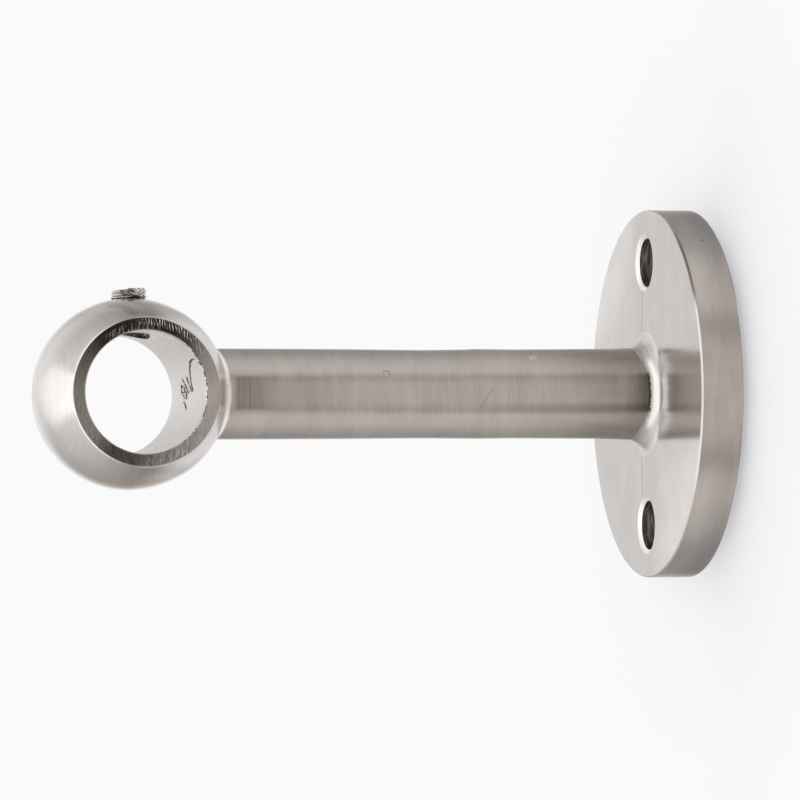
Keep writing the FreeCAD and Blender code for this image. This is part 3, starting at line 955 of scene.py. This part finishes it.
def paint_burnished(net):
    """Nickel rubbed smooth on edges and fillets, dark at the foot's ground edge and the torn bore's edge,
    with painted light and shade.
    """
    place = net.place()
    x, y, z = net.split(place)
    reach = net.distance(x - POLE_X, z)
    fine = net.noise(place, (0.16, 5, 5), detail=3.0)
    # Painted shadow on the plate's rounded edges, on the front and upper side
    shadow = net.step(x, *RIM_EDGE_X) * net.step(y, *FRONT_Y) * net.band(z, *RIM_SHADOW_BAND)
    torn = net.step(reach, *LIP_REACH) * net.step(y, *LIP_Y) * net.step(x, *LIP_X)
    torn *= net.step(net.noise(place, (0.3, 0.3, 0.3)), 0.47, 0.55, 0.0, 0.9)
    dark = net.most(GROOVE_EDGE_SHADE * groove_and_shade(net, place), shadow, torn)
    # Painted highlight on the screw holes' chamfers
    chamfer = net.step(net.distance(y, abs(z) - SCREW_HOLE_OFFSET), *CHAMFER_REACH)
    chamfer *= net.step(x, *CHAMFER_X)
    # Painted shade on the rim of the eye's flat face, on the stem's side
    face_rim = net.band(reach, *FACE_RIM_BAND) * net.step(x, *STEM_SIDE_X)
    # Painted highlight on the neck's fillet, which is also duller
    neck = net.step(reach, *NECK_REACH) * net.step(x, *NECK_FILLET_X)
    factor = net.vary(fine, 0.9, 1.06) * (1 - dark) * (1 + chamfer)
    factor += NECK_HIGHLIGHT * neck - face_rim
    roughness = net.vary(fine, 0.14, 0.22) + NECK_DULLNESS * neck
    roughness += net.step(x, *FOOT_DULL_X)
    return net.shade(NICKEL, factor), roughness, net.bump(fine, 0.08, 0.01), None


def paint_lined(net):
    """Satin nickel brushed in straight upright lines, on the plate's flat faces, with a painted highlight
    beside the stem and painted light that slopes across the faces.
    """
    place = net.place()
    x, y, z = net.split(place)
    front = net.step(x, *FACE_FRONT_X)
    fine = net.noise(place, (40, 0.3, 16), detail=3.0, roughness=0.7)
    # Painted highlight on the front face beside the stem
    highlight_by_stem = net.step(abs(z), *HIGHLIGHT_BY_STEM_Z) * net.step(y, *HIGHLIGHT_BY_STEM_Y)
    highlight_by_stem *= net.step(abs(z), *HIGHLIGHT_BY_STEM_EDGE_Z)
    marks = net.most(net.strokes(place, FACE_HAIRLINES), net.strokes(place, FACE_TICKS))
    factor = net.vary(fine, 0.8, 0.84) * net.vary(net.noise(place, (6, 6, 6)), 0.95, 1.04)
    # Painted light that slopes across the faces by y times z, and the painted highlight beside the stem
    factor *= net.step(y * z, *FACE_LIGHT_SLOPE) * (1 + front * highlight_by_stem)
    factor *= 1 - front * marks
    return net.shade(NICKEL, factor), net.vary(fine, 0.16, 0.22), net.bump(fine, 0.06, 0.01), None


def paint_sawn(net):
    """The eye's flat faces, sawn off, with painted light and shade that changes round the pole and the
    saw's chatter across them.
    """
    place = net.place((POLE_X, 0, 0))
    x, _, z = net.split(place)
    reach = net.distance(x, z)
    turn = net.math("FRACT", net.math("ARCTAN2", z, x) / (2 * math.pi))
    wobble = net.noise(place, (1.1, 4, 1.1))
    wave = net.math("SINE", 2 * math.pi * ((x + SAW_LEAN * z) / SAW_PITCH + 2 * wobble))
    scratch = net.noise(place, (0.08, 8, 1.1), detail=3.0, roughness=0.6)
    ridge = net.step(wave, 0.1, 0.9) * net.level(turn, SAWN_CHATTER)
    ridge *= net.step(reach + wobble, *CHATTER_REACH)
    ridge *= net.step(net.noise(place, (0.3, 3, 0.8)), 0.35, 0.6, 0.2, 1.25)
    hair = net.step(scratch, 0.52, 0.62) * net.step(reach, *HAIR_REACH)
    ridge += hair * net.step(z, *HAIR_Z) * net.step(x, *HAIR_X)
    coarse = net.step(abs(z), *COARSE_Z)
    grain = net.step(scratch, 0.35, 0.65, 0.86 - 0.26 * coarse, 1.1 + 0.25 * coarse)
    # Painted light and shade round the pole, with the chatter's ridges on it
    factor = (net.level(turn, SAWN_LIGHT_AND_SHADE) + ridge) * grain
    roughness = net.vary(scratch, 0.3, 0.42)
    return net.shade(NICKEL, factor), roughness, net.bump(scratch + ridge, 0.3, 0.03), None


def paint_reamed(net):
    """The bore, reamed and left as it was, with scuffs on the side towards the stem."""
    place = net.place()
    fine = net.noise(place, (3, 0.3, 3), detail=3.0)
    cloud = net.noise(place, (1.2, 1.2, 1.2), detail=4.0)
    grit = net.noise(place, (0.35, 1.2, 0.35))
    squashed = net.vector("MULTIPLY", place, (1, BORE_SQUASH, 1))
    scuff = net.strokes(squashed, BORE_SCUFFS) * net.step(grit, 0.34, 0.5, 0.35, 1.0)
    scuff *= net.step(net.split(place)[0], POLE_X, POLE_X + SCUFF_FADE)
    grey = net.strokes(squashed, BORE_GREY) * net.step(grit, 0.3, 0.6)
    factor = net.vary(fine, 0.9, 0.98) * net.vary(cloud, 0.9, 1.06) * (1 - grey)
    factor *= 1 - SCUFF_SHADE * net.step(scuff, 0.0, 1.0)
    normal = net.bump(0.03 * fine - 0.5 * scuff, 0.6, 0.05)
    return net.shade(NICKEL, factor), net.vary(cloud, 0.2, 0.3), normal, scuff


def paint_bare_and_shade(net):
    """The walls of the two screw holes and of the grub screw's hole, drilled and left dull, and darkened
    with painted shade.
    """
    streak = net.noise(net.place(), (0.35, 2.5, 2.5), detail=3.0)
    # Painted shade in the holes, on dull bare metal
    colour = net.shade(BROWN_AND_SHADE, net.step(streak, 0.35, 0.7, 0.2, 0.85))
    return colour, BARE_ROUGHNESS, net.bump(streak, 0.3, 0.05), None


def paint_screw(net):
    """Bright nickel, darker in the thread's roots, with grime and painted shade in the slot and a painted
    shadow where it enters its hole.
    """
    place = net.place((POLE_X, 0, 0))
    x, y, z = net.split(place)
    grit = net.noise(place, (0.25, 0.25, 0.25), detail=3.0)
    # Darker in the thread's roots
    crest = net.step(net.distance(x, y) + 0.12 * grit, *CREST_REACH)
    chewed = net.step(x, *CHEWED_X) * net.step(z, *CHEWED_Z) * net.step(grit, 0.35, 0.5)
    # Grime and painted shade in the slot
    across = math.cos(SLOT_TURN) * x - math.sin(SLOT_TURN) * y
    slot = net.step(abs(across), SLOT_WIDTH / 2 + SLOT_BLUR, SLOT_WIDTH / 2)
    # Painted shadow on the screw where it enters its hole
    run = 0.22 * net.math("MINIMUM", x + GRUB_RADIUS, 3 * (SHADOW_TURN_X - x))
    shadow = net.step(z - run, *GRUB_SHADOW_TOP_Z) * net.step(z, *GRUB_SHADOW_FOOT_Z)
    dirt_and_shade = net.most(slot * net.step(grit, 0.3, 0.65, 0.7, 0.15), shadow)
    factor = net.most(crest, chewed) * (1 - SLOT_AND_HOLE_SHADE * dirt_and_shade)
    return net.shade(BRIGHT_NICKEL, factor), net.vary(grit, 0.12, 0.25), net.bump(grit, 0.3, 0.03), dirt_and_shade


def light_stops(lights, start, end):
    """Stops of a colour ramp for lights of (place, radiance, warmth) with places from start to end."""
    return [((place - start) / (end - start), tuple(share * level for share in warmth))
            for place, level, warmth in lights]


def make_world():
    """A studio given by direction: soft light above and below, at the eye's end and behind."""
    world = bpy.data.worlds.new("studio")
    bpy.context.scene.world = world
    world.use_nodes = True
    net = Net(world.node_tree)
    x, y, z = net.split(net.node("ShaderNodeTexCoord").outputs["Generated"])
    turn = abs(net.math("ARCTAN2", z, -1 * y)) / math.pi
    light = net.ramp(turn, light_stops(RING_LIGHT, 0, 180))
    left = net.linear(x, *LEFT_X)
    behind = net.linear(x, *BEHIND_X) * net.linear(y, *BEHIND_Y)
    left += behind * net.step(z, *BEHIND_Z)
    side = net.most(left, net.linear(x, *RIGHT_LIGHT_X))
    side = net.shade(net.blend(net.step(side, 0.3, 0.55), SHADE_WARM, WHITE), side)
    light = net.blend(net.step(y, *SIDE_Y), light, net.vector("MAXIMUM", light, side))
    left_front = net.ramp(0.5 * x + 0.5, light_stops(FRONT_LIGHT, -1, 1))
    front = net.step(x, *FRONT_LIGHT_X) * net.step(y, *FRONT_LIGHT_Y)
    light = net.blend(front, light, net.shade(left_front, FRONT_STRENGTH))
    box = net.step(x, *BOX_X) * net.step(y, *BOX_Y) * net.step(abs(z), *BOX_Z)
    light = net.blend(box, light, BOX_LIGHT)
    light = net.blend(net.step(x, *WALL_LIGHT_X), light, WHITE)
    path = net.node("ShaderNodeLightPath").outputs
    backdrop = net.step(turn, *BACKDROP_TURN) * net.step(x, *BACKDROP_X)
    reflected = net.most(path["Is Glossy Ray"], path["Is Transmission Ray"]) * backdrop
    light = net.blend(net.most(path["Is Camera Ray"], reflected), light, BACKGROUND)
    shader = net.add("ShaderNodeBackground", {"Color": light, "Strength": 1.0})
    net.node("ShaderNodeOutputWorld", {"Surface": shader})


def make_stage_sheet(name, corners, surface):
    """A flat sheet of the stage that only the camera sees, with its surface's nodes."""
    mesh = bpy.data.meshes.new(name)
    mesh.from_pydata([Vector(corner) * MM for corner in corners], [], [(0, 1, 2, 3)])
    sheet = bpy.data.objects.new(name, mesh)
    bpy.context.scene.collection.objects.link(sheet)
    mesh.materials.append(make_material(name, surface))
    sheet.visible_glossy = False
    sheet.visible_diffuse = False
    sheet.visible_shadow = False


def floor_surface(net):
    """Pale paint that also glows, with the shadow of the bracket on it."""
    paint = net.add("ShaderNodeBsdfDiffuse", {"Color": FLOOR_PAINT})
    glow = net.add("ShaderNodeEmission", {"Color": (*WHITE, 1), "Strength": FLOOR_GLOW})
    return net.add("ShaderNodeAddShader", {0: paint, 1: glow})


def wall_surface(net):
    """A pale glowing wall with a painted shadow close to the plate, and open when seen from behind."""
    near = net.node("ShaderNodeAmbientOcclusion", {"Distance": WALL_SHADOW * MM}, samples=6)
    y = net.split(net.place())[1]
    # Painted shadow from ambient occlusion near the plate, stronger towards -y
    shadow_depth = net.linear(near.outputs["AO"], 1.0, 0.5) * net.step(y, 0, -PLATE_RADIUS, 0.3, 1.0)
    front = net.add("ShaderNodeEmission", {"Color": net.blend(shadow_depth, BACKGROUND, WALL_SHADE)})
    clear = net.add("ShaderNodeBsdfTransparent")
    behind = net.node("ShaderNodeNewGeometry").outputs["Backfacing"]
    return net.add("ShaderNodeMixShader", {0: behind, 1: front, 2: clear})


def make_stage():
    """A pale floor well below the bracket, and the wall that it is fixed to."""
    side = STAGE_HALF
    square = ((-side, -side), (side, -side), (side, side), (-side, side))
    make_stage_sheet("floor", [(x, y, FLOOR_Z) for x, y in square], floor_surface)
    edges = ((-side, FLOOR_Z), (-side, side), (side, side), (side, FLOOR_Z))
    make_stage_sheet("wall", [(WALL_GAP, y, z) for y, z in edges], wall_surface)


def make_casting():
    """Wall plate, stem and eye as one closed skin."""
    skin = Skin()
    rim, rim_places = build_eye(skin)
    ring, theta = build_stem(skin, rim, rim_places)
    build_plate(skin, ring, theta)
    casting = bpy.data.objects.new("casting", skin.mesh("casting"))
    for material in (metal("nickel_brushed", paint_brushed, 0.9, "X"),
                     metal("nickel_burnished", paint_burnished, 0.5, "X"),
                     metal("nickel_lined", paint_lined, 0.5, "Y"),
                     metal("nickel_sawn", paint_sawn),
                     metal("nickel_reamed", paint_reamed),
                     metal("nickel_bare_and_shade", paint_bare_and_shade)):
        casting.data.materials.append(material)
    place_on_body(casting, "bracket", "satin_nickel", "cast_bracket")
    even = casting.modifiers.new("even_normals", "WEIGHTED_NORMAL")
    even.keep_sharp = True
    return casting


def thread_reach(turns, z):
    """Radius of the threaded screw, with both ends chamfered."""
    phase = np.mod(turns, 1)
    ridge = np.clip(np.abs(phase - 0.5) * THREAD_STEEPNESS - THREAD_CREST, 0, 1)
    reach = GRUB_RADIUS - THREAD_DEPTH * ridge
    ends = np.minimum(z - (GRUB_TOP - GRUB_LENGTH), GRUB_TOP - z)
    return np.minimum(reach, GRUB_RADIUS - np.clip(GRUB_CHAMFER - ends, 0, None))


def dent(place):
    """How deep the chewed metal is dented at a place, around 0."""
    return noise.fractal(Vector(place) * DENTS_PER_MM, *DENT_SETTINGS)


def make_grub_screw():
    """The slotted grub screw, chewed by a screwdriver on its right side."""
    rows = round(GRUB_LENGTH / THREAD_PITCH) * ROWS_PER_TURN
    z = np.linspace(GRUB_TOP - GRUB_LENGTH, GRUB_TOP, rows + 1)[:, None]
    angle = np.arange(THREAD_COLUMNS)[None, :] * 2 * math.pi / THREAD_COLUMNS
    reach = thread_reach(z / THREAD_PITCH - angle / (2 * math.pi), z)
    exposed = z - GRUB_TOP + CHEW_HEIGHT
    near_top = np.clip(exposed / CHEW_FADE, 0, 1)
    chew = near_top * np.clip(CHEW_SPREAD + np.cos(angle + CHEW_TURN), 0, 1)
    places = np.stack(np.broadcast_arrays(np.cos(angle), np.sin(angle), DENT_SQUASH * z), axis=-1)
    dents = np.apply_along_axis(dent, -1, places)
    reach = reach - CHEW_DEPTH * chew * np.clip(CHEW_SPREAD + dents, 0, 1)
    sunk = z - CHEW_SINK * near_top ** 2 * chew * np.clip(dents, 0, 1)
    sunk = sunk - DROOP * np.clip(exposed / CHEW_HEIGHT, 0, 1) * np.clip(-np.cos(angle), 0, 1)
    points = np.stack([POLE_X + reach * np.cos(angle), reach * np.sin(angle), sunk], axis=-1)
    skin = Skin()
    shares = TOP_RINGS_REACH * portions(TOP_RINGS)[:, None, None]
    top = points[-1] * (1 - shares) + points[-1].mean(axis=0) * shares
    numbers = skin.add(np.concatenate([points, top]))
    skin.weave(numbers)
    skin.cap(numbers[0], BRUSHED)
    skin.cap(numbers[-1], BRUSHED)
    screw = bpy.data.objects.new("slotted_grub_screw", skin.mesh("slotted_grub_screw"))
    place_on_body(screw, "clamp_screw", "bright_nickel", "grub_screw")
    cut_slot(screw)
    screw.data.materials.append(metal("bright_nickel", paint_screw))


def cut_slot(screw):
    """Cut the screwdriver slot and keep the result as the screw's mesh."""
    mesh = bpy.data.meshes.new("slot")
    work = bmesh.new()
    bmesh.ops.create_cube(work, size=1.0)
    size = (SLOT_WIDTH, 3 * GRUB_RADIUS, 2 * SLOT_DEPTH)
    bmesh.ops.scale(work, vec=[length * MM for length in size], verts=work.verts)
    bmesh.ops.rotate(work, matrix=Matrix.Rotation(-SLOT_TURN, 3, "Z"), verts=work.verts)
    bmesh.ops.translate(work, vec=Vector((POLE_X, 0, GRUB_TOP)) * MM, verts=work.verts)
    work.to_mesh(mesh)
    work.free()
    cutter = bpy.data.objects.new("slot", mesh)
    bpy.context.scene.collection.objects.link(cutter)
    cut = screw.modifiers.new("slot", "BOOLEAN")
    cut.operation = "DIFFERENCE"
    cut.solver = "EXACT"
    cut.object = cutter
    view = bpy.context.evaluated_depsgraph_get()
    carved = bpy.data.meshes.new_from_object(screw.evaluated_get(view))
    screw.modifiers.clear()
    screw.data = carved
    bpy.data.objects.remove(cutter)
    carved.set_sharp_from_angle(angle=SHARP_SCREW_ANGLE)


def make_camera():
    """The photograph's camera."""
    forward = Vector((math.sin(YAW) * math.cos(PITCH), math.cos(YAW) * math.cos(PITCH), math.sin(PITCH)))
    level = Vector((math.cos(YAW), -math.sin(YAW), 0))
    rise = level.cross(forward)
    right = math.cos(ROLL) * level + math.sin(ROLL) * rise
    up = math.cos(ROLL) * rise - math.sin(ROLL) * level
    half = PHOTO_SIZE / 2
    aside, above = EYE_PIXEL[0] - half, half - EYE_PIXEL[1]
    eye = Vector((POLE_X, 0, 0))
    spot = eye - MM_PER_PIXEL * (aside * right + above * up + FOCAL_PIXELS * forward)
    camera = bpy.data.objects.new("camera", bpy.data.cameras.new("camera"))
    camera.data.sensor_width = SENSOR_WIDTH
    camera.data.lens = FOCAL_PIXELS / PHOTO_SIZE * SENSOR_WIDTH
    turn = Matrix((right, up, -forward)).transposed()
    camera.matrix_world = Matrix.Translation(spot * MM) @ turn.to_4x4()
    bpy.context.scene.collection.objects.link(camera)
    bpy.context.scene.camera = camera


def main():
    make_camera()
    make_world()
    make_stage()
    make_casting()
    make_grub_screw()
    bpy.context.scene.view_settings.view_transform = "Standard"


main()
